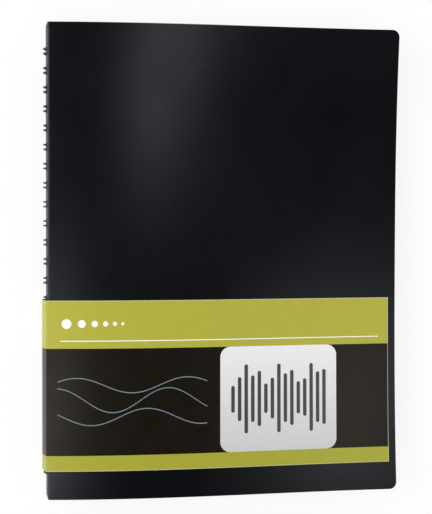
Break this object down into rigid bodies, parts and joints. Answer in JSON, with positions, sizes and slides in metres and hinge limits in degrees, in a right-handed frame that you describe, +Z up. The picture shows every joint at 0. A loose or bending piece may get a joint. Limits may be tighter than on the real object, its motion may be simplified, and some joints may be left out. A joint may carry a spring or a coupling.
{
  "type": "music folder",
  "caption": "Closed black display folder for sheet music, with twin-loop wire binding showing through its creased spine and a printed card band wrapped round it.",
  "frame": {"origin": "middle of the folder's outline, on the surface it lies on, under the card band's back panel", "axes": "+X from the spine to the fore edge, +Y to the head of the page, +Z up through the closed folder to its front cover"},
  "size_m": [0.2428, 0.316, 0.03],
  "materials": {
    "cover_sheet": "fine matt grain, soft sheen",
    "coated_wire": "satin nylon coat",
    "pocket_film": "clear film, low glare",
    "printed_card": "printed, satin"
  },
  "bodies": {
    "spine": {"spine_panel": "cover_sheet", "binding_wire": "coated_wire", "pocket_leaves": "pocket_film", "belly_band": "printed_card"},
    "front": {"front_cover": "cover_sheet"},
    "back": {"back_cover": "cover_sheet"}
  },
  "joints": [
    {"name": "front_cover_hinge", "type": "hinge", "parent": "spine", "child": "front", "pos_m": [-0.11785, 0, 0.0233], "axis": [0, -1, 0], "range_deg": [0, 175], "deforming": ["belly_band"]},
    {"name": "back_cover_hinge", "type": "hinge", "parent": "spine", "child": "back", "pos_m": [-0.11785, 0, 0.0011], "axis": [0, 1, 0], "range_deg": [0, 175], "deforming": ["belly_band"]}
  ]
}
